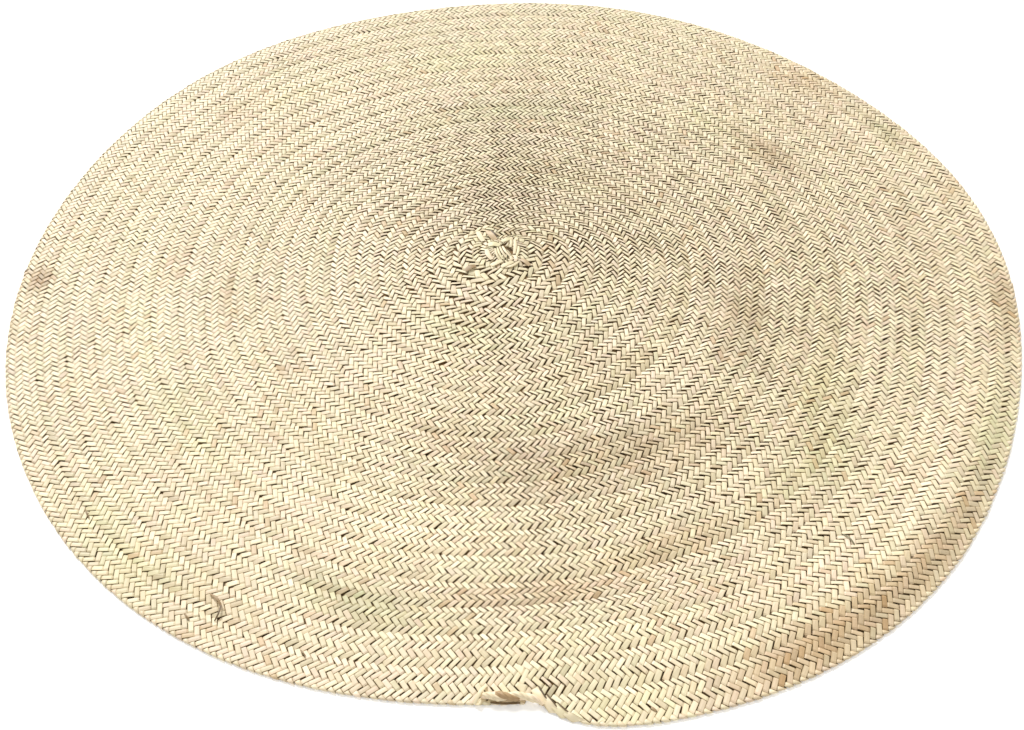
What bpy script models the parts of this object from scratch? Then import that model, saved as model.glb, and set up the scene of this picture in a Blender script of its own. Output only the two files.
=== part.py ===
"""Round palm-leaf rug, in metres, +Z up, lying flat on the floor at z = 0.

One flat plait, four rows wide, is coiled clockwise from the middle and sewn edge to edge. Its end
narrows at the front rim, where the leaf ends are twisted into a short cord that is sewn down on the
turn beside it. The last seam stands up in a low ridge at the right front.
"""

import math
from typing import NamedTuple

import bmesh
import bpy
from mathutils import Vector

COLLECTION = "round_palm_leaf_rug"

# The plait
ROW_PITCH = 0.00981
ROWS_ACROSS = 4
PLAIT_WIDTH = ROWS_ACROSS * ROW_PITCH
PLAIT_THICK = 0.004
SEAM_DIP = 0.0014
SEAM_SHARE = 0.13
COLUMNS = (0.0, SEAM_SHARE, 1.0 - SEAM_SHARE, 1.0)
RIM_ROUND = 0.0013
RIM_SEGMENTS = 2
RIM_ANGLE = math.radians(50.0)
CREASE_ANGLE = math.radians(40.0)
MERGE = 0.00005

# The coil: radii are measured from the centre that the outer turns share
END_RADIUS = 0.7659
END_ANGLE = -88.5
TURNS = END_RADIUS / PLAIT_WIDTH
EYE_TURNS = 1.25
EYE_RISE = 0.0025
EYE_SPREAD = 0.06
EYE_ASIDE = 0.004
CENTRE = Vector((-0.0154, 0.01305))
EYE_OFFSET = 0.0518
EYE_OFFSET_REACH = 0.3875
EYE_OFFSET_POWER = 1.5

# The turns between the middle and the rim lie this far inwards of even spacing, most at two thirds
# of the way out, where share * share * (1 - share) has its peak of 4 / 27
MIDDLE_PULL = 0.0125
PULL_PEAK = 4.0 / 27.0

# Steps round one turn, in degrees counter-clockwise from the plait's end
FINE_STEP = 1.0
FINE_STEPS = 10
STEP = 6.0

# The narrowed end: its width comes back to full over this many degrees
TAPER_START = 0.9
TAPER_REACH = 3.0
LEAST_WIDTH = 0.05

# The ridge that the last seam makes, in degrees counter-clockwise from the plait's end
RIDGE_HEIGHT = 0.011
RIDGE_FROM = 10.0
RIDGE_TO = 92.0
RIDGE_INNER_RUN = 2.4 * PLAIT_WIDTH

# The twisted end
CORD_RADIUS = 0.0052
CORD_WAIST = 0.62
CORD_TWISTS = 2.2
CORD_RINGS = 40
CORD_SIDES = 14
CORD_SEAT = 0.85
HEADING_SPAN = 0.01
GAP = 0.0003

# The strand that holds the cord's left end down, from its inner end over the cord to the rim
TUCK_WIDTH = 0.0066
TUCK_THICK = 0.0012
TUCK_STEPS = 20
TUCK_FROM = Vector((-0.0265, -0.6990))
TUCK_TO = Vector((-0.0400, -0.7225))
TUCK_ARCH = 0.0066
TUCK_TOP = 0.16
TUCK_FOOT = 0.42


class Wave(NamedTuple):
    """One wave of unevenness round the rug, pushing the turns outwards."""

    order: int
    size: float
    towards: float
    growth: float


UNEVEN = (
    Wave(order=1, size=0.0137, towards=-82.2, growth=4.0),
    Wave(order=2, size=0.0015, towards=3.5, growth=2.0),
    Wave(order=3, size=0.0019, towards=-16.5, growth=2.0),
    Wave(order=4, size=0.0047, towards=42.0, growth=1.0),
    Wave(order=5, size=0.0033, towards=10.8, growth=3.0),
    Wave(order=6, size=0.0036, towards=7.5, growth=3.0),
)


class Stop(NamedTuple):
    """A place that the cord's middle line passes, from the coil's centre, and how full it is there."""

    x: float
    y: float
    full: float


CORD_STOPS = (
    Stop(x=-0.0325, y=-0.7120, full=0.50),
    Stop(x=-0.0240, y=-0.7130, full=0.88),
    Stop(x=-0.0110, y=-0.7145, full=1.00),
    Stop(x=0.0030, y=-0.7150, full=1.00),
    Stop(x=0.0150, y=-0.7150, full=0.95),
    Stop(x=0.0260, y=-0.7170, full=0.80),
    Stop(x=0.0345, y=-0.7205, full=0.60),
    Stop(x=0.0395, y=-0.7255, full=0.40),
)


def clear_scene():
    for item in list(bpy.data.objects):
        bpy.data.objects.remove(item, do_unlink=True)


def new_material(name, colour, roughness):
    material = bpy.data.materials.new(name)
    material.use_nodes = True
    shader = material.node_tree.nodes["Principled BSDF"]
    shader.inputs["Base Color"].default_value = (*colour, 1.0)
    shader.inputs["Roughness"].default_value = roughness
    shader.inputs["Metallic"].default_value = 0.0
    return material


def new_object(name, form, material, collection):
    """Puts a finished bmesh into a named object."""
    bmesh.ops.recalc_face_normals(form, faces=form.faces)
    mesh = bpy.data.meshes.new(name)
    form.to_mesh(mesh)
    form.free()
    mesh.materials.append(material)
    thing = bpy.data.objects.new(name, mesh)
    collection.objects.link(thing)
    return thing


def smooth(share):
    """Eases from 0 to 1."""
    share = min(max(share, 0.0), 1.0)
    return share * share * (3.0 - 2.0 * share)


def coil_point(even_radius, angle):
    """The place on the floor of a point of the coil, with the rug's unevenness."""
    share = even_radius / END_RADIUS
    radius = even_radius - MIDDLE_PULL * share**2 * (1.0 - share) / PULL_PEAK
    for wave in UNEVEN:
        swing = math.cos(wave.order * math.radians(angle - wave.towards))
        radius += wave.size * share**wave.growth * swing
    offset = EYE_OFFSET * max(1.0 - even_radius / EYE_OFFSET_REACH, 0.0) ** EYE_OFFSET_POWER
    turned = math.radians(angle)
    return Vector(
        (
            CENTRE.x + radius * math.cos(turned),
            CENTRE.y + offset + radius * math.sin(turned),
        )
    )


def ridge_lift(even_radius, degrees):
    """How far the plait stands off the floor beside the last seam."""
    degrees = degrees % 360.0
    if not RIDGE_FROM < degrees < RIDGE_TO:
        return 0.0
    window = math.sin(math.pi * (degrees - RIDGE_FROM) / (RIDGE_TO - RIDGE_FROM)) ** 2
    seam = END_RADIUS - PLAIT_WIDTH * (1.0 + degrees / 360.0)
    beyond = even_radius - seam
    run = PLAIT_WIDTH if beyond > 0.0 else RIDGE_INNER_RUN
    return RIDGE_HEIGHT * window * smooth(1.0 - abs(beyond) / run)


def end_width(degrees):
    """The share of the plait's width that is left this far from its end."""
    return max(1.0 - math.exp((TAPER_START - degrees) / TAPER_REACH), LEAST_WIDTH)


def turn_steps():
    """The places of one turn's rays, in degrees from the plait's end: close together beside the end."""
    steps = [FINE_STEP * i for i in range(FINE_STEPS)]
    first = FINE_STEP * FINE_STEPS
    coarse = round((360.0 - first) / STEP)
    return steps + [first + (360.0 - first) * i / coarse for i in range(coarse)]


def plait_rays():
    """Every ray across the plait, from its end to its start, in degrees from the end."""
    whole = int(TURNS) + 1
    rays = [360.0 * turn + step for turn in range(whole) for step in turn_steps()]
    return [ray for ray in rays if ray <= (TURNS - EYE_TURNS) * 360.0]


def from_middle(point):
    """How far a point lies from the middle of the coil, seen from above."""
    return math.hypot(point.x - CENTRE.x, point.y - CENTRE.y - EYE_OFFSET)


def eye_ring(form):
    """The edges round the hole in the middle that the first turn leaves."""
    near = 2.0 * PLAIT_WIDTH
    return [edge for edge in form.edges if edge.is_boundary and from_middle(edge.verts[0].co) < near]


def eye_centre():
    """The point that the first turn closes on, just beside the plait's start."""
    aside = math.radians(END_ANGLE + plait_rays()[-1] + 90.0)
    return Vector(
        (
            CENTRE.x + EYE_ASIDE * math.cos(aside),
            CENTRE.y + EYE_OFFSET + EYE_ASIDE * math.sin(aside),
            0.0,
        )
    )


def lay_plait(form):
    """Bends a flat grid into the spiral, and sews each turn to the one inside it."""
    rays = plait_rays()
    on_seam = form.verts.layers.float.new("on_seam")
    bmesh.ops.create_grid(form, x_segments=len(rays) - 1, y_segments=len(COLUMNS) - 1, size=0.5)
    for vert in form.verts:
        degrees = rays[round((vert.co.x + 0.5) * (len(rays) - 1))]
        across = COLUMNS[round((vert.co.y + 0.5) * (len(COLUMNS) - 1))]
        width = end_width(degrees) if degrees < 360.0 else 1.0
        inner = PLAIT_WIDTH * (TURNS - degrees / 360.0 - 1.0)
        even_radius = inner + PLAIT_WIDTH * across * width
        place = coil_point(even_radius, END_ANGLE + degrees)
        vert.co = (place.x, place.y, ridge_lift(even_radius, degrees))
        vert[on_seam] = float(across in (0.0, 1.0) and degrees < rays[-1])
    bmesh.ops.remove_doubles(form, verts=form.verts, dist=MERGE)
    filled = bmesh.ops.holes_fill(form, edges=eye_ring(form), sides=0)["faces"]
    poked = bmesh.ops.poke(form, faces=filled)["verts"]
    for vert in poked:
        vert.co = eye_centre()
        vert[on_seam] = 0.0


def eye_swell(point):
    """The tight start of the coil stands a little proud."""
    return EYE_RISE * smooth(1.0 - from_middle(point) / EYE_SPREAD)


def make_sewn_plait(collection):
    form = bmesh.new()
    lay_plait(form)
    on_seam = form.verts.layers.float["on_seam"]
    raised = bmesh.ops.extrude_face_region(form, geom=form.faces[:])["geom"]
    for item in raised:
        if isinstance(item, bmesh.types.BMVert):
            item.co.z += PLAIT_THICK - SEAM_DIP * item[on_seam] + eye_swell(item.co)
    leaf = new_material("dried_palm_leaf", (0.72, 0.62, 0.42), 0.62)
    plait = new_object("sewn_plait", form, leaf, collection)
    rounding = plait.modifiers.new("rolled_rim", "BEVEL")
    rounding.width = RIM_ROUND
    rounding.segments = RIM_SEGMENTS
    rounding.limit_method = "ANGLE"
    rounding.angle_limit = RIM_ANGLE
    plait.data.shade_smooth()
    plait.data.set_sharp_from_angle(angle=CREASE_ANGLE)
    return plait


def blend_stops(share):
    """The cord's middle line and fullness at a share of its length, through its stops."""
    last = len(CORD_STOPS) - 1
    along = share * last
    index = min(int(along), last - 1)
    near = [CORD_STOPS[min(max(index + i, 0), last)] for i in (-1, 0, 1, 2)]
    t = along - index
    weights = (
        (-t + 2.0 * t**2 - t**3) / 2.0,
        (2.0 - 5.0 * t**2 + 3.0 * t**3) / 2.0,
        (t + 4.0 * t**2 - 3.0 * t**3) / 2.0,
        (-(t**2) + t**3) / 2.0,
    )
    x = sum(w * stop.x for w, stop in zip(weights, near))
    y = sum(w * stop.y for w, stop in zip(weights, near))
    full = sum(w * stop.full for w, stop in zip(weights, near))
    return Vector((x, y)), full


def cord_radius(turned):
    """The outline of two strands laid side by side, at an angle round the cord."""
    return CORD_RADIUS * (CORD_WAIST + (1.0 - CORD_WAIST) * abs(math.cos(turned)))


def make_twisted_end(collection):
    """A tube whose outline is two lobes that turn round each other along it."""
    form = bmesh.new()
    bmesh.ops.create_cone(
        form, cap_ends=True, segments=CORD_SIDES, radius1=1.0, radius2=1.0, depth=1.0
    )
    sides = [edge for edge in form.edges if abs(edge.verts[0].co.z - edge.verts[1].co.z) > 0.5]
    bmesh.ops.subdivide_edges(form, edges=sides, cuts=CORD_RINGS - 1)
    floor = PLAIT_THICK + GAP
    for vert in form.verts:
        share = vert.co.z + 0.5
        place, full = blend_stops(share)
        ahead, _ = blend_stops(min(share + HEADING_SPAN, 1.0))
        behind, _ = blend_stops(max(share - HEADING_SPAN, 0.0))
        along = (ahead - behind).normalized()
        round_cord = math.atan2(vert.co.y, vert.co.x)
        radius = full * cord_radius(round_cord - 2.0 * math.pi * CORD_TWISTS * share)
        side = radius * math.cos(round_cord)
        up = radius * math.sin(round_cord)
        centre_up = floor + CORD_SEAT * full * CORD_RADIUS
        vert.co = (
            CENTRE.x + place.x - along.y * side,
            CENTRE.y + place.y + along.x * side,
            max(centre_up + up, floor),
        )
    leaf = new_material("twisted_palm_leaf", (0.60, 0.45, 0.29), 0.66)
    cord = new_object("twisted_end", form, leaf, collection)
    cord.data.shade_smooth()
    return cord


def make_tuck_strand(collection):
    """A flat leaf strip that passes over the cord's left end, with both its ends on the plait."""
    form = bmesh.new()
    bmesh.ops.create_grid(form, x_segments=TUCK_STEPS, y_segments=2, size=0.5)
    run = TUCK_TO - TUCK_FROM
    side = Vector((-run.y, run.x)).normalized() * TUCK_WIDTH
    for vert in form.verts:
        place = CENTRE + TUCK_FROM + run * (vert.co.x + 0.5) + side * vert.co.y
        rise = smooth((TUCK_FOOT - abs(vert.co.x)) / (TUCK_FOOT - TUCK_TOP))
        vert.co = (place.x, place.y, PLAIT_THICK + GAP + TUCK_ARCH * rise)
    raised = bmesh.ops.extrude_face_region(form, geom=form.faces[:])["geom"]
    for item in raised:
        if isinstance(item, bmesh.types.BMVert):
            item.co.z += TUCK_THICK
    leaf = new_material("pale_palm_leaf", (0.80, 0.73, 0.52), 0.58)
    strand = new_object("tuck_strand", form, leaf, collection)
    strand.data.shade_smooth()
    strand.data.set_sharp_from_angle(angle=CREASE_ANGLE)
    return strand


def make_all():
    clear_scene()
    collection = bpy.data.collections.new(COLLECTION)
    bpy.context.scene.collection.children.link(collection)
    make_sewn_plait(collection)
    make_twisted_end(collection)
    make_tuck_strand(collection)


make_all()
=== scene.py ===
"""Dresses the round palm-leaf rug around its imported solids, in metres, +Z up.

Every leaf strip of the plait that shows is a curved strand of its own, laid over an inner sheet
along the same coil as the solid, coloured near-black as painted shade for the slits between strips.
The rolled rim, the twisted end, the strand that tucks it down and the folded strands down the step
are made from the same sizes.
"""

import logging
import math
from dataclasses import dataclass, field
from enum import Enum

import bpy
import numpy as np
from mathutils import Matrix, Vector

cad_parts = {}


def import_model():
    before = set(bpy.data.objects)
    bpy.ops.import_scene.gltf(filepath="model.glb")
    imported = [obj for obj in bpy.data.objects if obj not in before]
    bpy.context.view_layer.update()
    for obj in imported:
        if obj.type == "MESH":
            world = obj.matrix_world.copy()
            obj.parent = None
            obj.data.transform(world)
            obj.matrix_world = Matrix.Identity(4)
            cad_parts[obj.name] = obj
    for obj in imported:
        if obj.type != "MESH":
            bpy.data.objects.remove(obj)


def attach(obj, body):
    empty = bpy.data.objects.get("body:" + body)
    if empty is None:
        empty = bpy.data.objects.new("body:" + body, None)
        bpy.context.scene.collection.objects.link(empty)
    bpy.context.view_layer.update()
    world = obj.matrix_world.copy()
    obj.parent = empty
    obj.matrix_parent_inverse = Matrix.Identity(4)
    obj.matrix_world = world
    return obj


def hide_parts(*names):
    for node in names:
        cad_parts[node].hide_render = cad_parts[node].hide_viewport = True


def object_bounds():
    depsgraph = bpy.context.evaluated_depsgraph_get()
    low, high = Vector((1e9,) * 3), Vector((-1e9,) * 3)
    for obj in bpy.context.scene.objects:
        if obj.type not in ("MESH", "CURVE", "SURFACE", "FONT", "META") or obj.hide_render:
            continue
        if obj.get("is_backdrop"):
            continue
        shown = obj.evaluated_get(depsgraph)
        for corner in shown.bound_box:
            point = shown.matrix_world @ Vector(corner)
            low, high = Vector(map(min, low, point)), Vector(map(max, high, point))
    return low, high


LOG = logging.getLogger("rug")
BODY = "root"
Array = np.ndarray
Colour = tuple[float, float, float]


def ease(share: Array) -> Array:
    """Eases from 0 to 1, and holds outside that."""
    share = np.clip(share, 0.0, 1.0)
    return share * share * (3.0 - 2.0 * share)


class Drift:
    """A smooth random line, for what changes slowly along the plait."""

    def __init__(self, draws: np.random.Generator, reach: float, run: float) -> None:
        """Draws the line's knots.

        Args:
            draws: where the random numbers come from.
            reach: how far the line goes, in steps.
            run: the distance between knots, in steps.
        """
        self.run = run
        self.knots = draws.uniform(-1.0, 1.0, int(reach / run) + 4)

    def at(self, steps: Array) -> Array:
        """The line's height, from -1 to 1, at these steps."""
        along = np.clip(steps / self.run + 1.0, 0.0, len(self.knots) - 1.001)
        first = along.astype(int)
        share = ease(along - first)
        return self.knots[first] * (1.0 - share) + self.knots[first + 1] * share


@dataclass(frozen=True)
class Wave:
    """One wave of unevenness round the rug, pushing the turns outwards."""

    order: int
    size: float
    towards: float
    growth: float


@dataclass(frozen=True)
class Draw:
    """A side of the rug where some turns were sewn in tighter, or wider where the size is below zero.

    The turns run from the start to the stop, or to the rim where the stop is 0.
    """

    size: float
    towards: float
    spread: float
    start: float
    stop: float = 0.0


@dataclass(frozen=True)
class Coil:
    """The coiled plait. Its sizes are those of the solid: metres, and degrees from the plait's end.

    The draws and the pushes move the turns inside the rim. The pushes are strongest at their reach from
    the middle, and stand at even steps round it, from the first on.
    """

    row_pitch: float = 0.00981
    rows: int = 4
    thickness: float = 0.004
    seam_dip: float = 0.0014
    seam_share: float = 0.16
    end_radius: float = 0.7659
    end_angle: float = -88.5
    centre: tuple[float, float] = (-0.0154, 0.01305)
    middle_pull: float = 0.0125
    pull_peak: float = 4.0 / 27.0
    eye_offset: float = 0.0518
    eye_offset_reach: float = 0.3875
    eye_offset_power: float = 1.5
    eye_rise: float = 0.0025
    eye_spread: float = 0.06
    taper_start: float = 0.9
    taper_reach: float = 3.0
    least_width: float = 0.05
    ridge_height: float = 0.011
    ridge_from: float = 10.0
    ridge_to: float = 92.0
    ridge_inner_widths: float = 2.4
    draws: tuple[Draw, ...] = (
        Draw(size=0.0165, towards=-79.0, spread=19.0, start=0.578),
        Draw(size=-0.0065, towards=-58.0, spread=17.0, start=0.340),
        Draw(size=0.0058, towards=-16.0, spread=16.0, start=0.340),
        Draw(size=0.0112, towards=14.0, spread=21.0, start=0.510),
        Draw(size=0.0065, towards=-136.0, spread=14.0, start=0.360),
        Draw(size=0.0065, towards=170.0, spread=18.0, start=0.370, stop=0.530),
        Draw(size=-0.0105, towards=152.0, spread=13.0, start=0.160, stop=0.380),
        Draw(size=0.0100, towards=123.0, spread=14.0, start=0.330, stop=0.550),
        Draw(size=-0.0085, towards=123.0, spread=14.0, start=0.540, stop=0.690),
        Draw(size=0.0065, towards=93.0, spread=13.0, start=0.340, stop=0.620),
    )
    push: tuple[float, ...] = (
        *(0.0120, 0.0135, 0.0130, 0.0090, 0.0120, 0.0130),
        *(0.0150, 0.0080, 0.0000, -0.0020, 0.0010, 0.0070),
    )
    push_first: float = -165.0
    push_step: float = 30.0
    push_reach: float = 0.095
    lip: float = 0.0019
    lip_reach: float = 2.9
    fold: float = 0.0042
    fold_run: float = 14.0
    open_edge_to: float = 361.0
    tight_turns: float = 1.1
    extra_start: float = 262.0
    least_height: float = 0.0003
    waves: tuple[Wave, ...] = (
        Wave(order=1, size=0.0137, towards=-82.2, growth=4.0),
        Wave(order=2, size=0.0015, towards=3.5, growth=2.0),
        Wave(order=3, size=0.0019, towards=-16.5, growth=2.0),
        Wave(order=4, size=0.0047, towards=42.0, growth=1.0),
        Wave(order=5, size=0.0033, towards=10.8, growth=3.0),
        Wave(order=6, size=0.0036, towards=7.5, growth=3.0),
    )

    @property
    def width(self) -> float:
        """The width of the plait."""
        return self.row_pitch * self.rows

    @property
    def turns(self) -> float:
        """How many plait widths lie between the middle and the end."""
        return self.end_radius / self.width

    @property
    def start(self) -> float:
        """The plait's start, in degrees from its end, with the strands that close the middle."""
        return (self.turns - 1.0) * 360.0 + self.extra_start

    @property
    def tight_from(self) -> float:
        """Where the strips begin to fan in the tight middle, in degrees from the end."""
        return 360.0 * (self.turns - 0.5 - self.tight_turns)

    @property
    def steps_per_degree(self) -> float:
        """Row pitches that one degree takes, for each turn of distance from the middle."""
        return self.rows * math.pi / 180.0

    def inner(self, degrees: Array) -> Array:
        """The even radius of the plait's inner edge."""
        return self.width * (self.turns - degrees / 360.0 - 1.0)

    def end_share(self, degrees: Array) -> Array:
        """The share of the plait's width that its narrowed end has."""
        tapered = 1.0 - np.exp((self.taper_start - degrees) / self.taper_reach)
        return np.maximum(tapered, self.least_width)

    def squeeze(self, degrees: Array) -> Array:
        """The share of its even width that the twill keeps inside the folded edge of the last turn."""
        return 1.0 - self.fold / self.width * ease((self.open_edge_to - degrees) / self.fold_run)

    def place(self, even: Array, degrees: Array) -> tuple[Array, Array]:
        """Where a point of the coil lies, with the rug's unevenness.

        Args:
            even: the radius that the point would have in an even coil.
            degrees: the angle from the plait's end.

        Returns:
            The point's x and y.
        """
        turned = np.radians(self.end_angle + degrees)
        share = even / self.end_radius
        radius = even - self.middle_pull * share**2 * (1.0 - share) / self.pull_peak
        for wave in self.waves:
            swing = np.cos(wave.order * (turned - math.radians(wave.towards)))
            radius = radius + wave.size * np.abs(share) ** wave.growth * swing
        rim = self.end_radius - self.width * np.mod(degrees, 360.0) / 360.0
        for draw in self.draws:
            away = np.mod(np.degrees(turned) - draw.towards + 180.0, 360.0) - 180.0
            drawn = np.clip((even - draw.start) / ((draw.stop or rim) - draw.start), 0.0, 1.0)
            radius = radius - draw.size * np.sin(np.pi * drawn) * np.exp(-((away / draw.spread) ** 2))
        at = self.push_first + self.push_step * np.arange(len(self.push))
        push = np.interp(np.degrees(turned), at, self.push, period=360.0)
        run = np.maximum(even, 0.0) / self.push_reach
        radius = radius + push * run * np.exp(1.0 - run)
        near = np.maximum(1.0 - even / self.eye_offset_reach, 0.0)
        offset = self.eye_offset * near**self.eye_offset_power
        x = self.centre[0] + radius * np.cos(turned)
        y = self.centre[1] + offset + radius * np.sin(turned)
        return x, y

    def lift(self, even: Array, degrees: Array) -> Array:
        """How far the plait stands off the floor beside the last seam."""
        round_turn = np.mod(degrees, 360.0)
        span = self.ridge_to - self.ridge_from
        window = np.sin(np.pi * np.clip((round_turn - self.ridge_from) / span, 0.0, 1.0)) ** 2
        beyond = even - (self.end_radius - self.width * (1.0 + round_turn / 360.0))
        run = np.where(beyond > 0.0, self.width, self.ridge_inner_widths * self.width)
        return self.ridge_height * window * ease(1.0 - np.abs(beyond) / run)

    def crown(self, across: Array, even: Array, degrees: Array) -> Array:
        """The height of the plait's top.

        Args:
            across: the place across the plait, 0 at its inner edge and 1 at its outer one.
            even: the even radius there.
            degrees: the angle from the plait's end.

        Returns:
            The height over the floor.
        """
        dip = self.seam_dip * (1.0 - ease(np.minimum(across, 1.0 - across) / self.seam_share))
        swell = self.eye_rise * ease(1.0 - np.abs(even) / self.eye_spread)
        return self.lift(even, degrees) + self.thickness - dip + swell

    def steps_at(self, degrees: Array) -> Array:
        """How many row pitches the plait has run from its end, along its middle line."""
        coiled = np.minimum(degrees, self.tight_from)
        run = (self.turns - 0.5) * coiled - coiled**2 / 720.0
        tight = self.tight_turns * np.maximum(degrees - self.tight_from, 0.0)
        return self.steps_per_degree * (run + tight)

    def degrees_at(self, steps: Array) -> Array:
        """The other way round: the angle that so many row pitches reach."""
        full = 360.0 * (self.turns - 0.5)
        tight = self.steps_at(np.array(self.tight_from))
        coiled = np.minimum(steps, tight) / self.steps_per_degree
        beyond = np.maximum(steps - tight, 0.0) / (self.steps_per_degree * self.tight_turns)
        return full - np.sqrt(full**2 - 720.0 * coiled) + beyond

    def misfit(self, degrees: Array) -> Array:
        """How far, in pitches, a seam's strips are from meshing with those of the turn outside."""
        apart = self.steps_at(degrees) - self.steps_at(degrees - 360.0)
        off = apart - np.round(apart)
        meshed = off * (1.0 - np.abs(2.0 * off) ** 6)
        return np.where((degrees > 360.0) & (degrees < self.start), meshed, 0.0)

    def along(self, steps: Array, across: Array) -> Array:
        """The angle of a point of the plait, with its edges drawn along so that the turns mesh.

        Args:
            steps: row pitches along the plait, from its end.
            across: the place across it, 0 to 1 from its inner edge.

        Returns:
            Degrees from the plait's end.
        """
        plain = self.degrees_at(steps)
        outer = 0.5 * self.misfit(plain) * across
        inner = 0.5 * self.misfit(plain + 360.0) * (1.0 - across)
        return self.degrees_at(steps + outer - inner)

    def surface(self, steps: Array, out: Array, under: Array) -> Array:
        """Points of the plait's faces, which roll over its open edge in the last turn.

        Args:
            steps: row pitches along the plait, from its end.
            out: the distance from its inner edge, over the face and round the rolled edge.
            under: how far inside the face the point lies.

        Returns:
            The points, with x, y and z on the last axis.
        """
        degrees = self.along(steps, np.clip(out / self.width, 0.0, 1.0))
        edge = self.width * self.end_share(degrees) - self.lip
        edge = np.where(degrees < self.open_edge_to, edge, math.inf)
        rolled = np.minimum(np.maximum(out - edge, 0.0) / self.lip, self.lip_reach)
        flat = np.minimum(out, edge)
        even = self.inner(degrees) + flat + (self.lip - under) * np.sin(rolled)
        across = np.clip(flat / self.width, 0.0, 1.0)
        across = np.where(degrees < self.open_edge_to, np.minimum(across, 1.0 - self.seam_share), across)
        x, y = self.place(even, degrees)
        z = self.crown(across, even, degrees) - self.lip + (self.lip - under) * np.cos(rolled)
        return np.stack([x, y, np.maximum(z, self.least_height)], axis=-1)


@dataclass(frozen=True)
class Patch:
    """A stretch of the rug whose leaves differ, by its place from the coil's centre in metres."""

    x: float
    y: float
    run: float
    breadth: float
    green: float = 0.0
    tan: float = 0.0
    light: float = 0.0


PATCHES = (
    Patch(x=-0.054, y=0.553, run=0.110, breadth=0.045, green=0.30, light=0.10),
    Patch(x=-0.350, y=0.459, run=0.080, breadth=0.035, green=0.45, light=0.05),
    Patch(x=-0.524, y=-0.105, run=0.120, breadth=0.030, green=0.25, light=0.12),
    Patch(x=-0.430, y=-0.280, run=0.100, breadth=0.040, green=0.60),
    Patch(x=-0.495, y=-0.501, run=0.120, breadth=0.040, green=0.65),
    Patch(x=-0.181, y=-0.582, run=0.080, breadth=0.025, green=0.75, light=-0.16),
    Patch(x=0.040, y=-0.566, run=0.110, breadth=0.025, tan=0.40),
    Patch(x=0.206, y=-0.502, run=0.070, breadth=0.035, tan=0.42),
    Patch(x=0.072, y=-0.365, run=0.110, breadth=0.050, tan=0.42, light=-0.10),
    Patch(x=0.208, y=-0.331, run=0.080, breadth=0.045, tan=0.38, light=-0.10),
    Patch(x=-0.064, y=-0.118, run=0.070, breadth=0.040, green=0.45),
    Patch(x=0.350, y=-0.100, run=0.090, breadth=0.040, tan=0.45, light=-0.12),
    Patch(x=0.438, y=-0.247, run=0.060, breadth=0.025, green=0.50),
    Patch(x=0.436, y=-0.358, run=0.090, breadth=0.035, green=0.60, light=-0.06),
    Patch(x=0.441, y=0.269, run=0.070, breadth=0.030, tan=0.50, light=-0.12),
    Patch(x=0.360, y=0.352, run=0.080, breadth=0.030, green=0.45),
    Patch(x=0.358, y=-0.657, run=0.110, breadth=0.035, tan=0.75, light=-0.06),
    Patch(x=0.500, y=-0.556, run=0.120, breadth=0.028, tan=0.65, light=-0.04),
    Patch(x=0.650, y=-0.342, run=0.090, breadth=0.028, green=0.55),
    Patch(x=0.127, y=-0.730, run=0.100, breadth=0.030, green=0.35, light=0.05),
    Patch(x=0.110, y=-0.638, run=0.120, breadth=0.030, light=0.10),
    Patch(x=-0.458, y=0.419, run=0.050, breadth=0.025, tan=0.45),
    Patch(x=-0.408, y=-0.046, run=0.060, breadth=0.025, tan=0.45),
    Patch(x=0.634, y=0.330, run=0.060, breadth=0.020, green=0.55, light=-0.12),
    Patch(x=-0.111, y=-0.472, run=0.110, breadth=0.040, light=0.12),
    Patch(x=0.739, y=-0.078, run=0.060, breadth=0.020, tan=0.50, light=-0.10),
    Patch(x=0.032, y=0.404, run=0.120, breadth=0.030, green=0.30, light=-0.08),
    Patch(x=-0.502, y=0.032, run=0.060, breadth=0.025, tan=0.35),
    Patch(x=0.523, y=0.474, run=0.100, breadth=0.030, tan=0.42),
    Patch(x=-0.372, y=-0.571, run=0.100, breadth=0.030, tan=0.25),
    Patch(x=-0.089, y=-0.324, run=0.090, breadth=0.030, tan=0.30),
    Patch(x=-0.702, y=0.005, run=0.024, breadth=0.016, tan=1.00, light=-0.26),
)


@dataclass(frozen=True)
class LooseArea:
    """A part of the rug that is plaited loosely, by its place from the coil's centre in metres."""

    x: float
    y: float
    reach: float
    share: float


LOOSE_AREAS = (
    LooseArea(x=0.02, y=0.07, reach=0.22, share=0.65),
    LooseArea(x=0.08, y=0.16, reach=0.12, share=0.60),
    LooseArea(x=0.38, y=0.08, reach=0.40, share=0.55),
    LooseArea(x=0.40, y=-0.25, reach=0.34, share=0.22),
    LooseArea(x=0.05, y=-0.38, reach=0.26, share=0.28),
    LooseArea(x=0.12, y=0.34, reach=0.26, share=0.35),
    LooseArea(x=-0.30, y=0.20, reach=0.22, share=0.15),
    LooseArea(x=-0.35, y=-0.52, reach=0.28, share=-0.14),
    LooseArea(x=0.042, y=-0.700, reach=0.014, share=1.50),
)


@dataclass(frozen=True)
class Tone:
    """One tone of the leaves: its base, how it varies along the plait, by leaf and by strip, and its run."""

    base: float
    along: float
    leaf: float
    strip: float
    run: float


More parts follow.
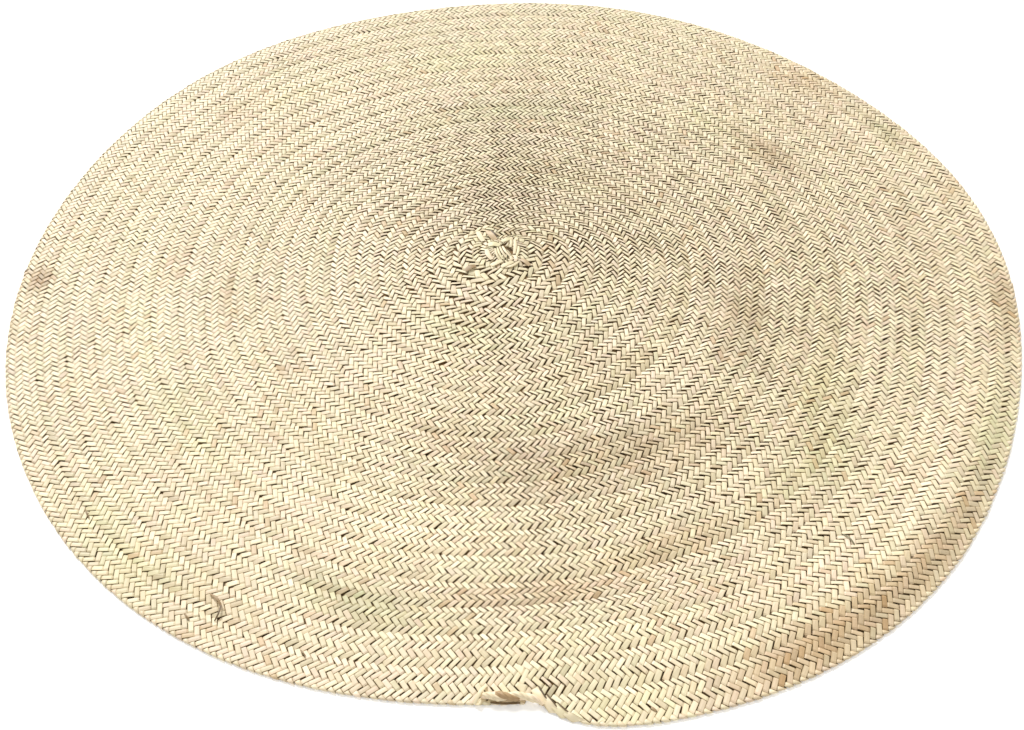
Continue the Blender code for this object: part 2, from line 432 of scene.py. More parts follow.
class LeafMix:
    """Chooses each strip's colour: its share of green, of tan and its lightness."""

    tones = (
        Tone(base=0.14, along=0.12, leaf=0.10, strip=0.00, run=34.0),
        Tone(base=0.10, along=0.09, leaf=0.09, strip=0.04, run=17.0),
        Tone(base=0.00, along=0.03, leaf=0.04, strip=0.04, run=9.0),
    )
    odd_from = 2.2
    odd_tan = 0.25
    green_share = 0.8
    tan_share = 0.7
    tightest = 0.20
    spare = 16

    def __init__(self, coil: Coil, draws: np.random.Generator) -> None:
        """Draws the slow changes along the plait.

        Args:
            coil: the coil that the strips lie along.
            draws: where the random numbers come from.
        """
        self.coil = coil
        reach = float(coil.steps_at(np.array(coil.start)))
        self.drifts = [Drift(draws, reach, tone.run) for tone in self.tones]
        self.by_leaf = draws.normal(0.0, 1.0, (2, int(reach) + 4 * self.spare, 3))
        self.draws = draws

    def at(self, steps: Array, leaf: Array, side: Array, x: Array, y: Array) -> Array:
        """The colour of strips.

        Args:
            steps: how far along the plait each lies, in row pitches.
            leaf: the number of the leaf that each is a part of.
            side: 0 or 1, for the two ways that the leaves lean.
            x: where it lies.
            y: where it lies.

        Returns:
            One row for each strip, of green, tan and lightness.
        """
        own = self.by_leaf[side, np.clip(leaf + self.spare, 0, self.by_leaf.shape[1] - 1)]
        each = self.draws.normal(0.0, 1.0, (len(steps), 3))
        green, tan, light = (
            tone.base + tone.along * drift.at(steps) + tone.leaf * own[:, i] + tone.strip * each[:, i]
            for i, (tone, drift) in enumerate(zip(self.tones, self.drifts))
        )
        tan = tan + np.where(own[:, 1] > self.odd_from, self.odd_tan, 0.0)
        for patch in PATCHES:
            share = self.share_of(patch, x, y)
            green = green + patch.green * share * self.green_share
            tan = tan + patch.tan * share * self.tan_share
            light = light + patch.light * share
        return np.stack([np.clip(green, 0.0, 1.0), np.clip(tan, 0.0, 1.0), light], axis=1)

    def looseness(self, x: Array, y: Array) -> Array:
        """How loosely the strips lie at places, from 0 up, which shows as dark slits between them."""
        loose = np.full(x.shape, self.tightest)
        for area in LOOSE_AREAS:
            away = np.hypot(x - self.coil.centre[0] - area.x, y - self.coil.centre[1] - area.y)
            loose = loose + area.share * np.exp(-((away / area.reach) ** 2))
        return loose

    def share_of(self, patch: Patch, x: Array, y: Array) -> Array:
        """How much of a patch's colour reaches places, stretched along the coil."""
        from_x, from_y = x - self.coil.centre[0], y - self.coil.centre[1]
        radius = math.hypot(patch.x, patch.y)
        out_x, out_y = patch.x / radius, patch.y / radius
        turned = np.arctan2(from_y * out_x - from_x * out_y, from_x * out_x + from_y * out_y)
        aside = np.hypot(from_x, from_y) - radius
        return np.exp(-((turned * radius / patch.run) ** 2) - (aside / patch.breadth) ** 2)


@dataclass
class Strands:
    """Leaf strands as grids of points, gathered into one mesh."""

    points: list[Array] = field(default_factory=list)
    grain: list[Array] = field(default_factory=list)
    kinds: list[Array] = field(default_factory=list)
    smooth: list[bool] = field(default_factory=list)
    margin: float = 0.04

    def add(self, points: Array, grain: Array, kinds: Array, smooth: bool = True) -> None:
        """Adds strands that have the same number of points.

        Args:
            points: their points, by strand, along, across and axis.
            grain: the same shape: place along the leaf, place across it from -1 to 1, leaf number.
            kinds: green, tan and lightness, one row for each strand or one for each point.
            smooth: whether they are round, and not pressed flat with creases.
        """
        self.points.append(points)
        self.grain.append(grain)
        self.kinds.append(kinds)
        self.smooth.append(smooth)

    def build(self, name: str, material: bpy.types.Material) -> bpy.types.Object:
        """Makes the mesh.

        Args:
            name: the piece's name.
            material: its finish.

        Returns:
            The new object.
        """
        places, quads, prints, smooth = [], [], [], []
        total = sum(len(block) for block in self.points)
        columns = math.ceil(math.sqrt(total / 2.0))
        rows = math.ceil(total / columns)
        first_vertex, first_strand = 0, 0
        inside = 1.0 - 2.0 * self.margin
        for block, is_smooth in zip(self.points, self.smooth):
            count, along, across, _ = block.shape
            quad = self.quads_of(along, across)
            smooth.append(np.full(count * len(quad), is_smooth))
            corners = quad[None] + (np.arange(count) * along * across)[:, None, None]
            quads.append(corners.reshape(-1, 4) + first_vertex)
            cell = np.arange(count) + first_strand
            corner_u = self.margin + inside * (quad // across / (along - 1))
            corner_v = self.margin + inside * (quad % across / (across - 1))
            corner_u = ((cell % columns)[:, None, None] + corner_u) / columns
            corner_v = ((cell // columns)[:, None, None] + corner_v) / rows
            prints.append(np.stack([corner_u, corner_v], -1).reshape(-1, 2))
            places.append(block.reshape(-1, 3))
            first_vertex += count * along * across
            first_strand += count
        mesh = bpy.data.meshes.new(name)
        self.fill(mesh, np.concatenate(places), np.concatenate(quads))
        mesh.uv_layers.new(name="OFBake").data.foreach_set("uv", np.concatenate(prints).ravel())
        self.mark(mesh)
        mesh.polygons.foreach_set("use_smooth", np.concatenate(smooth))
        mesh.materials.append(material)
        thing = bpy.data.objects.new(name, mesh)
        bpy.context.scene.collection.objects.link(thing)
        return thing

    @staticmethod
    def quads_of(along: int, across: int) -> Array:
        """The corners of the faces of one grid, four to a row."""
        i, j = np.meshgrid(np.arange(along - 1), np.arange(across - 1), indexing="ij")
        first = (i * across + j).reshape(-1)
        return np.stack([first, first + across, first + across + 1, first + 1], axis=1)

    @staticmethod
    def fill(mesh: bpy.types.Mesh, places: Array, quads: Array) -> None:
        """Puts points and faces into a mesh.

        Args:
            mesh: an empty mesh.
            places: its points.
            quads: its faces, four corners to a row.
        """
        mesh.vertices.add(len(places))
        mesh.vertices.foreach_set("co", places.astype(np.float32).ravel())
        mesh.loops.add(quads.size)
        mesh.loops.foreach_set("vertex_index", quads.astype(np.int32).ravel())
        mesh.polygons.add(len(quads))
        mesh.polygons.foreach_set("loop_start", np.arange(0, quads.size, 4, dtype=np.int32))
        mesh.update(calc_edges=True)
        mesh.validate()

    def mark(self, mesh: bpy.types.Mesh) -> None:
        """Writes each strand's grain and kind on its points."""
        grain = np.concatenate([block.reshape(-1, 3) for block in self.grain])
        spread = [
            np.broadcast_to(kind if kind.ndim == 4 else kind[:, None, None], block.shape).reshape(-1, 3)
            for kind, block in zip(self.kinds, self.points)
        ]
        for name, values in (("leaf_grain", grain), ("leaf_kind", np.concatenate(spread))):
            layer = mesh.attributes.new(name, "FLOAT_VECTOR", "POINT")
            layer.data.foreach_set("vector", values.astype(np.float32).ravel())


class Flow:
    """One output of a shader node, with arithmetic that adds Math nodes."""

    def __init__(self, tree: "NodeTree", socket: bpy.types.NodeSocket) -> None:
        """Wraps a socket of a tree."""
        self.tree = tree
        self.socket = socket

    def math(self, operation: str, *values: "Flow | float") -> "Flow":
        """Adds a Math node on these values."""
        return self.tree.node("ShaderNodeMath", {"operation": operation}, dict(enumerate(values)))

    def __add__(self, other: "Flow | float") -> "Flow":
        """The sum."""
        return self.math("ADD", self, other)

    __radd__ = __add__

    def __sub__(self, other: "Flow | float") -> "Flow":
        """The difference."""
        return self.math("SUBTRACT", self, other)

    def __rsub__(self, other: float) -> "Flow":
        """The difference, with a number first."""
        return self.math("SUBTRACT", other, self)

    def __mul__(self, other: "Flow | float") -> "Flow":
        """The product."""
        return self.math("MULTIPLY", self, other)

    __rmul__ = __mul__

    def __abs__(self) -> "Flow":
        """The size, whatever the sign."""
        return self.math("ABSOLUTE", self)

    def between(self, low: float, high: float) -> "Flow":
        """Eases from 0 at low to 1 at high."""
        values = {"Value": self, "From Min": low, "From Max": high}
        return self.tree.node("ShaderNodeMapRange", {"interpolation_type": "SMOOTHSTEP"}, values)


class NodeTree:
    """The nodes of one new material."""

    def __init__(self, name: str) -> None:
        """Makes a material that holds just a Principled shader."""
        self.material = bpy.data.materials.new(name)
        self.material.use_nodes = True
        self.tree = self.material.node_tree
        self.shader = self.tree.nodes["Principled BSDF"]

    def feed(self, socket: bpy.types.NodeSocket, value: "Flow | float | tuple") -> None:
        """Links a flow to a socket, or sets its number or colour."""
        if isinstance(value, Flow):
            self.tree.links.new(value.socket, socket)
        elif isinstance(value, tuple) and len(socket.default_value) == 4:
            socket.default_value = (*value, 1.0)
        else:
            socket.default_value = value

    def node(self, kind: str, settings: dict, values: dict, output: int | str = 0) -> Flow:
        """Adds a node.

        Args:
            kind: the node's type.
            settings: its properties, which are set first.
            values: what its sockets get, by name or number: a flow, a number or a colour.
            output: the socket that is wanted.

        Returns:
            That output.
        """
        added = self.tree.nodes.new(kind)
        for key, value in settings.items():
            setattr(added, key, value)
        for key, value in values.items():
            self.feed(added.inputs[key], value)
        return Flow(self, added.outputs[output])

    def marks(self, name: str) -> list[Flow]:
        """The three numbers that a mesh keeps under a name."""
        vector = self.node("ShaderNodeAttribute", {"attribute_name": name}, {}, "Vector")
        apart = self.node("ShaderNodeSeparateXYZ", {}, {0: vector})
        return [apart, *(Flow(self, apart.socket.node.outputs[i]) for i in (1, 2))]

    def point(self, *values: Flow) -> Flow:
        """Up to three numbers as one place."""
        return self.node("ShaderNodeCombineXYZ", {}, dict(enumerate(values)))

    def noise(self, where: Flow, scale: float, detail: float) -> Flow:
        """A cloudy value from 0 to 1 at a place."""
        values = {"Vector": where, "Scale": scale, "Detail": detail}
        return self.node("ShaderNodeTexNoise", {}, values)

    def blend(self, share: "Flow | float", first: "Flow | Colour", second: "Flow | Colour") -> Flow:
        """Mixes two colours, all of the second where the share is 1."""
        settings = {"data_type": "RGBA"}
        return self.node("ShaderNodeMix", settings, {0: share, 6: first, 7: second}, 2)

    def scaled(self, colour: Flow, by: Flow) -> Flow:
        """A colour made lighter or darker by a number."""
        settings = {"operation": "SCALE"}
        return self.node("ShaderNodeVectorMath", settings, {0: colour, "Scale": by})


@dataclass(frozen=True)
class LeafFinish:
    """Dry palm leaf: cream, with green and tan strips, fine fibres along it, and painted shade at the strips'
    edges and ends.
    """

    name: str
    cream: Colour = (0.870, 0.775, 0.560)
    rose: Colour = (0.880, 0.730, 0.560)
    green: Colour = (0.700, 0.700, 0.390)
    tan: Colour = (0.560, 0.365, 0.180)
    # Painted shade: a tan tint that darkens the strips towards their sides, as if rounded and shadowed near
    # the slits.
    side_shade_tint: Colour = (0.480, 0.340, 0.120)
    side_shade_share: float = 0.24
    # Painted shade: a near-black brown along the strips' edges and ends, for the shadow in the slits and
    # where strips dive under, partly the leaf's own browned edge.
    edge: Colour = (0.120, 0.056, 0.012)
    edge_shade_share: float = 0.60
    end_share: float = 0.95
    rose_from: float = 0.45
    rose_to: float = 0.60
    side_shade_from: float = 0.45
    edge_from: float = 0.86
    end_from: float = 0.94
    end_to: float = 1.08
    leaf_apart: float = 7.31
    leaf_scale: float = 1.7
    fibres: float = 11.0
    fibre_run: float = 0.9
    cloud_run: float = 1.4
    clouds: float = 1.6
    cloud_tan: float = 0.20
    fibre_tan: float = 0.15
    fibre_light: float = 0.20
    fibre_depth: float = 0.00010
    bump_strength: float = 0.7
    cloud_bump: float = 0.5
    roughness: float = 0.50
    fibre_gloss: float = 0.3

    def dress(self) -> bpy.types.Material:
        """Makes the material.

        Returns:
            The new material.
        """
        tree = NodeTree(self.name)
        along, across, number = tree.marks("leaf_grain")
        green, tan, light = tree.marks("leaf_kind")
        own = number * self.leaf_apart
        fibre = tree.noise(tree.point(along * self.fibre_run, across * self.fibres, own), 1.0, 3.0)
        cloud = tree.noise(tree.point(along * self.cloud_run, across * self.clouds, own), 1.0, 2.0)
        leaf = tree.noise(tree.point(own), self.leaf_scale, 0.0)
        colour = tree.blend(leaf.between(self.rose_from, self.rose_to), self.cream, self.rose)
        colour = tree.blend(green, colour, self.green)
        browned = tan + (cloud - 0.5) * self.cloud_tan + (fibre - 0.5) * self.fibre_tan
        colour = tree.blend(browned, colour, self.tan)
        # Painted shade: the strips turn tan towards their sides.
        side_shade_tint = abs(across).between(self.side_shade_from, 1.0) * self.side_shade_share
        colour = tree.blend(side_shade_tint, colour, self.side_shade_tint)
        # Painted shade: near-black along edges and ends, for the shadow in the slits, partly real browning of
        # the edges.
        edges = abs(across).between(self.edge_from, 1.0) * self.edge_shade_share
        ends = abs(along).between(self.end_from, self.end_to) * self.end_share
        painted_slit_shade = (edges + ends) * cloud.between(0.25, 0.65)
        colour = tree.blend(painted_slit_shade, colour, self.edge)
        colour = tree.scaled(colour, 1.0 + light + (fibre - 0.5) * self.fibre_light)
        tree.feed(tree.shader.inputs["Base Color"], colour)
        tree.feed(tree.shader.inputs["Roughness"], self.roughness + (fibre - 0.5) * self.fibre_gloss)
        height = fibre + cloud * self.cloud_bump
        values = {"Strength": self.bump_strength, "Distance": self.fibre_depth, "Height": height}
        tree.feed(tree.shader.inputs["Normal"], tree.node("ShaderNodeBump", {}, values))
        return tree.material


@dataclass(frozen=True)
class InnerShadeFinish:
    """The inside of the plait seen through its slits, painted near-black brown for the shade that falls
    there.
    """

    name: str = "inner_painted_shade"
    # Painted shade: both colours are dark browns that stand for the shadow in the slits.
    dark: Colour = (0.050, 0.026, 0.008)
    warm: Colour = (0.220, 0.130, 0.045)
    cloud_scale: float = 90.0
    roughness: float = 0.85

    def dress(self) -> bpy.types.Material:
        """Makes the material."""
        tree = NodeTree(self.name)
        place = tree.node("ShaderNodeTexCoord", {}, {}, "Object")
        cloud = tree.noise(place, self.cloud_scale, 4.0)
        colour = tree.blend(cloud.between(0.35, 0.65), self.dark, self.warm)
        tree.feed(tree.shader.inputs["Base Color"], colour)
        tree.feed(tree.shader.inputs["Roughness"], self.roughness)
        return tree.material


@dataclass(frozen=True)
class GroundFinish:
    """A plain white ground."""

    name: str = "white_ground"
    white: Colour = (0.93, 0.93, 0.93)
    glow: float = 0.32
    roughness: float = 0.9

    def dress(self) -> bpy.types.Material:
        """Makes the material."""
        tree = NodeTree(self.name)
        tree.feed(tree.shader.inputs["Base Color"], self.white)
        tree.feed(tree.shader.inputs["Emission Color"], self.white)
        tree.feed(tree.shader.inputs["Emission Strength"], self.glow)
        tree.feed(tree.shader.inputs["Roughness"], self.roughness)
        return tree.material


class Band(Enum):
    """The stretches of the coil that are built as one piece each, with the turns they begin after."""

    RIM_TURNS = 0.0
    OUTER_TURNS = 2.5
    BROAD_TURNS = 5.3
    MIDDLE_TURNS = 8.8
    INNER_TURNS = 13.0


@dataclass
class LeafPlait:
    """The strips of the twill: each goes over two others and dives under the next two."""

    coil: Coil
    mix: LeafMix
    draws: np.random.Generator
    along: tuple[float, ...] = (-1.26, -1.01, -0.74, 0.74, 1.01, 1.26)
    end_drop: tuple[float, ...] = (1.0, 0.40, 0.0, 0.0, 0.40, 1.0)
    fold_along: tuple[float, ...] = (-1.25, -0.95, -0.60, -0.25, 0.0, 0.25, 0.50)
    fold_drop: tuple[float, ...] = (1.0, 0.35, 0.0, 0.0, 0.0, 0.0, 0.0)
    across: tuple[float, ...] = (-1.0, -0.86, 0.0, 0.86, 1.0)
    edge_drop: tuple[float, ...] = (1.0, 0.22, 0.0, 0.22, 1.0)
    dive: float = 0.0016
    edge_roll: float = 0.0009
    narrowest: float = 0.91
    widest: float = 0.98
    narrowed: float = 0.38
    least_narrowed: float = 0.15
    slack: float = 0.80
    least_wide: float = 0.54
    open_drop: float = 0.0009
    swing: float = 3.0
    shift: float = 0.00025
    unlevel: float = 0.00020
    end_slack: float = 0.65
    least_even: float = 0.010
    folds_from: float = 4.6
    numbers: float = 40.0

    @property
    def strip(self) -> float:
        """The width of a strip's place in the twill."""
        return self.coil.row_pitch / math.sqrt(2.0)

    def labels(self, row: int) -> tuple[Array, Array]:
        """The strips that show in one row across the plait.

        Args:
            row: 0 for the row at the inner edge.

        Returns:
            How far along the plait each lies, in row pitches, and the number of the leaf it is part of.
        """
        number = np.arange(1, int(self.coil.steps_at(np.array(self.coil.start))))
        steps = number + 0.5 * (row % 2)
        degrees = self.coil.degrees_at(steps)
        inside = (row + 1.0 - self.end_slack) / self.coil.rows < self.coil.end_share(degrees)
        even = self.coil.inner(degrees) + (row + 0.5) * self.coil.row_pitch
        inside = inside & (even > self.least_even)
        leaf = number - row if row % 2 == 0 else number + row
        return steps[inside], leaf[inside]

    def row(self, row: int) -> tuple[Array, ...]:
        """Makes the strips of one row.

        Args:
            row: 0 for the row at the inner edge.

        Returns:
            Their steps along the plait, points, grain and kinds.
        """
        steps, leaf = self.labels(row)
        squeeze = self.coil.squeeze(self.coil.degrees_at(steps))
        out = (row + 0.5) * self.coil.row_pitch * squeeze
        lean = 1.0 if row % 2 == 0 else -1.0
        return self.lay(steps, leaf, out, lean, self.along, self.end_drop, squeeze[:, None, None])

    def folds(self) -> tuple[Array, ...]:
        """Makes the strips that fold over the last turn's open edge, like the rows."""
        ends = self.coil.steps_at(np.array([self.folds_from, self.coil.open_edge_to]))
        steps = np.arange(int(ends[0]) + 1.0, int(ends[1]))
        degrees = self.coil.degrees_at(steps)
        out = self.coil.width * self.coil.end_share(degrees) - self.coil.fold
        out = out + 0.5 * self.coil.row_pitch
        leaf = steps.astype(int) - self.coil.rows
        return self.lay(steps, leaf, out, 1.0, self.fold_along, self.fold_drop, 1.0)

    def lay(
        self,
        steps: Array,
        leaf: Array,
        out: Array,
        lean: float,
        along: tuple[float, ...],
        drops: tuple[float, ...],
        squeeze: "Array | float",
    ) -> tuple[Array, ...]:
        """Lays strips on the plait's face.

        Args:
            steps: how far along the plait each strip's middle lies, in row pitches.
            leaf: the number of the leaf that each is a part of.
            out: how far each strip's middle lies from the plait's inner edge.
            lean: 1 for strips that run outwards as they run along the plait, -1 for the others.
            along: the places of the points along a strip, in strip widths.
            drops: how deep each of these lies, as a share of the dive.
            squeeze: what the strips are narrowed by across the plait.

        Returns:
            The steps along the plait, points, grain and kinds.
        """
        count, draws, across = len(steps), self.draws, np.array(self.across)
        shape = (count, 1, 1)
        start = self.coil.surface(steps, out, np.zeros(count))
        loose = self.mix.looseness(start[:, 0], start[:, 1])[:, None, None]
        wide = draws.uniform(self.narrowest, self.widest, shape)
        bearing = np.radians(self.coil.end_angle + self.coil.degrees_at(steps) + 90.0 - 45.0 * lean)
        slack = 1.0 + self.slack * np.cos(2.0 * bearing)[:, None, None]
        wide = wide - self.narrowed * loose * slack * draws.uniform(self.least_narrowed, 1.0, shape)
        wide = np.maximum(wide, self.least_wide)
        a = np.array(along)[None, :, None] * self.strip
        b = across[None, None, :] * 0.5 * self.strip * wide
        turn = np.radians(draws.normal(0.0, self.swing, shape))
        a, b = a - b * np.sin(turn), b + a * np.sin(turn)
        a = a + draws.normal(0.0, self.shift, shape)
        b = b + draws.normal(0.0, self.shift, shape)
        where = steps[:, None, None] + (a - lean * b) / math.sqrt(2.0) / self.coil.row_pitch
        outward = out[:, None, None] + (lean * a + b) / math.sqrt(2.0) * squeeze
        under = np.array(drops)[None, :, None] * (self.dive + self.open_drop * loose)
        under = under + np.array(self.edge_drop)[None, None, :] * self.edge_roll
        tilt = draws.normal(0.0, self.unlevel, shape) * across[None, None, :]
        rise = draws.normal(self.unlevel, self.unlevel, shape)
        points = self.coil.surface(where, outward, under + tilt + rise)
        spread = points.shape[:3]
        marks = (np.array(along)[:, None], across, draws.uniform(0.0, self.numbers, shape))
        grain = np.stack([np.broadcast_to(mark, spread) for mark in marks], axis=-1)
        side = np.full(count, 0 if lean > 0.0 else 1)
        kinds = self.mix.at(steps, leaf, side, start[:, 0], start[:, 1])
        if lean > 0.0:
            points, grain = points[:, :, ::-1], grain[:, :, ::-1]
        return steps, points, grain, kinds

    def build(self, material: bpy.types.Material) -> list[bpy.types.Object]:
        """Makes all the rows, a piece for each band of turns.

        Args:
            material: the finish of the leaf.

        Returns:
            The pieces.
        """
        made = [(*self.row(row), False) for row in range(self.coil.rows)] + [(*self.folds(), True)]
        bands = list(Band)
        pieces = []
        for index, band in enumerate(bands):
            first = band.value * 360.0
            last = bands[index + 1].value * 360.0 if index + 1 < len(bands) else math.inf
            strands = Strands()
            for steps, points, grain, kinds, smooth in made:
                degrees = self.coil.degrees_at(steps)
                inside = (degrees >= first) & (degrees < last)
                if inside.any():
                    strands.add(points[inside], grain[inside], kinds[inside], smooth)
            pieces.append(strands.build(band.name.lower(), material))
        return pieces


@dataclass(frozen=True)
class Ribbon:
    """A loose strand of leaf, by its stops in metres: x and y from the coil's centre, and the height.

    The roll lifts its left edge, and the cut draws that edge's end onwards. The narrow near-black ones are
    painted shade.
    """

    stops: tuple[tuple[float, float, float], ...]
    width: float
    green: float = 0.1
    tan: float = 0.1
    light: float = 0.0
    arch: float = 0.0004
    end_width: float = 0.7
    roll: float = 0.0
    cut: float = 0.0

    @classmethod
    def mm(cls, *stops: tuple[float, float, float], **looks: float) -> "Ribbon":
        """A strand whose stops and sizes are in millimetres.

        Args:
            stops: where it goes.
            looks: its other values.

        Returns:
            The strand, in metres.
        """
        sizes = {name: looks.pop(name) / 1000.0 for name in ("width", "arch", "roll", "cut") if name in looks}
        return cls(tuple(tuple(value / 1000.0 for value in stop) for stop in stops), **sizes, **looks)


STEP_STRANDS_AND_SHADE_LINES = (
    Ribbon.mm(
        (29.0, -704.0, 5.8), (34.8, -714.0, 6.4), (41.2, -725.2, 3.4),
        width=9.2, light=0.08, end_width=1.0, roll=1.8, cut=5.0,
    ),
    Ribbon.mm(
        (39.5, -715.0, 5.8), (46.2, -725.5, 5.2), (53.0, -734.5, 3.0),
        width=9.6, light=-0.02, end_width=1.0, roll=2.4, cut=6.2,
    ),
    Ribbon.mm(
        (51.5, -726.0, 5.6), (58.8, -734.0, 5.0), (66.8, -741.2, 3.0),
        width=8.4, green=0.30, light=0.06, end_width=1.0, roll=2.4, cut=6.2,
    ),
    Ribbon.mm(
        (63.5, -735.2, 5.4), (71.2, -740.5, 4.8), (79.8, -745.2, 3.0),
        width=7.8, end_width=1.0, roll=2.4, cut=6.2,
    ),
    # Painted shade: the three narrow near-black strands lie along the step strands' right edges, for the
    # shadow beside them.
    Ribbon.mm((34.5, -700.5, 6.2), (40.0, -711.0, 6.4), (47.2, -724.0, 5.2), width=2.0, tan=1.0, light=-0.80),
    Ribbon.mm((44.2, -711.6, 6.2), (51.2, -722.2, 6.2), (60.0, -734.6, 4.8), width=1.8, tan=1.0, light=-0.75),
    Ribbon.mm((55.6, -721.8, 6.0), (63.2, -730.0, 6.0), (73.8, -740.2, 4.6), width=1.8, tan=1.0, light=-0.70),
)

MIDDLE_STRANDS_AND_SLIT_SHADE = (
    Ribbon.mm(
        (-24.1, 90.2, 6.1), (-17.3, 77.9, 7.4), (-10.6, 68.2, 6.1), width=8.0, tan=0.65, light=-0.06, roll=1.6
    ),
    # Painted shade: a narrow near-black strand beside the brown folded leaf, for the dark slit at its side.
    Ribbon.mm((-18.0, 90.5, 7.2), (-12.8, 81.0, 8.2), (-8.0, 74.0, 7.0), width=3.4, tan=1.0, light=-0.80),
    Ribbon.mm((-38.4, 89.6, 5.8), (-35.0, 78.0, 6.6), (-30.0, 67.0, 5.8), width=8.8, light=0.08),
    Ribbon.mm((-22.9, 57.4, 6.1), (-15.0, 59.2, 7.4), (-5.7, 56.9, 6.1), width=10.2, green=0.5, light=0.08),
    Ribbon.mm((-12.0, 50.1, 6.1), (-9.5, 34.9, 7.4), (-4.4, 22.5, 6.1), width=4.0, green=0.3, tan=0.25),
    Ribbon.mm(
        (-8.5, 51.9, 6.1), (-5.5, 37.0, 7.5), (-0.3, 25.1, 6.1), width=3.7, green=0.5, tan=0.15, light=0.05
    ),
    Ribbon.mm((-4.8, 53.4, 6.1), (-0.8, 39.2, 7.6), (5.0, 28.6, 6.1), width=3.9, green=0.2, tan=0.2),
    Ribbon.mm((-0.7, 54.4, 6.1), (3.9, 41.4, 7.7), (10.3, 32.3, 6.1), width=4.1, light=0.08),
    Ribbon.mm((11.8, 72.2, 6.1), (12.9, 59.6, 7.4), (11.5, 51.3, 6.1), width=4.7, green=0.5),
    Ribbon.mm(
        (18.4, 69.0, 6.1), (18.9, 52.4, 7.4), (17.3, 36.7, 6.1), width=5.3, green=0.2, tan=0.2, light=0.06
    ),
    Ribbon.mm((24.1, 53.7, 6.1), (23.3, 40.8, 7.4), (19.8, 28.6, 6.1), width=4.2, green=0.4, light=0.06),
    Ribbon.mm((-2.5, 66.1, 6.1), (5.5, 67.9, 7.6), (11.8, 72.2, 6.3), width=7.8, green=0.6),
    Ribbon.mm((-17.6, 11.6, 6.1), (-9.8, 16.3, 7.4), (-1.3, 22.4, 6.1), width=7.8, green=0.3, light=0.05),
    Ribbon.mm((-2.9, 7.8, 6.1), (5.6, 12.9, 7.4), (15.0, 19.7, 6.1), width=7.7, green=0.5, light=0.04),
    Ribbon.mm((3.2, 7.6, 6.1), (14.1, 9.3, 7.7), (24.3, 19.4, 6.1), width=5.0, green=0.4, tan=0.15),
    Ribbon.mm((11.3, 32.3, 6.1), (12.7, 24.0, 7.4), (11.1, 19.8, 6.1), width=4.7, tan=0.3),
    Ribbon.mm((-25.3, 48.2, 6.1), (-22.9, 35.3, 7.4), (-16.8, 25.1, 6.1), width=7.6, light=0.10),
    Ribbon.mm((26.7, 25.0, 6.1), (33.6, 17.8, 7.8), (40.3, 9.9, 6.1), width=6.9, tan=0.7, light=-0.15),
    Ribbon.mm(
        (-56.9, 1.5, 6.1), (-49.2, 7.7, 8.0), (-41.6, 12.2, 6.1), width=7.8, green=0.4, tan=0.90, light=-0.38
    ),
    Ribbon.mm((17.5, 33.2, 6.1), (19.7, 24.9, 7.5), (18.1, 19.6, 6.1), width=5.6, light=0.12),
)

SLIVERS_AND_CORD_SHADE = (
    Ribbon.mm(
        (-365.4, -565.2, 5.2), (-355.6, -574.1, 8.5), (-349.6, -582.8, 7.0), width=3.0, tan=0.95, light=-0.40
    ),
    Ribbon.mm(
        (-349.6, -582.8, 7.0), (-351.0, -595.0, 8.0), (-355.3, -603.9, 4.4), width=2.2, tan=1.0, light=-0.72
    ),
    Ribbon.mm(
        (424.7, -493.6, 5.2), (432.9, -504.5, 8.5), (438.9, -519.8, 5.0), width=1.8, green=1.0, light=-0.70
    ),
    Ribbon.mm(
        (587.8, -391.5, 5.5), (596.0, -399.0, 7.5), (604.3, -405.2, 5.0), width=1.8, tan=0.8, light=-0.60
    ),
    Ribbon.mm(
        (-546.0, -431.5, 4.8), (-542.0, -439.0, 6.6), (-537.9, -446.0, 4.8), width=2.0, tan=0.9, light=-0.50
    ),
    Ribbon.mm(
        (-393.5, -591.8, 4.8), (-390.0, -597.0, 6.4), (-386.0, -601.8, 4.6), width=2.0, tan=0.9, light=-0.45
    ),
    Ribbon.mm(
        (-247.1, -646.3, 4.8), (-244.0, -650.5, 6.2), (-240.4, -654.5, 4.6), width=2.0, tan=0.8, light=-0.50
    ),
    Ribbon.mm(
        (163.0, -730.0, 4.8), (165.5, -732.2, 5.2), (168.5, -734.5, 4.6), width=3.4, tan=0.9, light=-0.35
    ),
    Ribbon.mm((-723.6, 25.5, 4.4), (-725.8, 21.8, 4.4), (-727.6, 17.6, 2.8), width=3.4, tan=0.9, light=-0.60),
    # Painted shade: this near-black strand lies along the twisted end's lower side, for the shadow between
    # the cord and the rim.
    Ribbon.mm(
        (-21.5, -719.6, 4.6), (-6.0, -721.6, 5.0), (13.0, -721.2, 4.6), width=3.0, tan=1.0, light=-0.62
    ),
)

TUCK_STRANDS = (
    Ribbon.mm(
        (-26.2, -697.8, 4.6), (-28.5, -702.0, 8.8), (-33.0, -709.5, 11.2),
        (-37.2, -717.0, 8.6), (-39.8, -722.2, 4.6),
        width=4.8, green=0.22, light=0.10, arch=0.7, end_width=0.8,
    ),
    Ribbon.mm(
        (-39.0, -720.5, 4.6), (-34.5, -722.5, 6.6), (-32.5, -717.5, 7.4), width=3.0, green=0.3, light=0.05
    ),
)


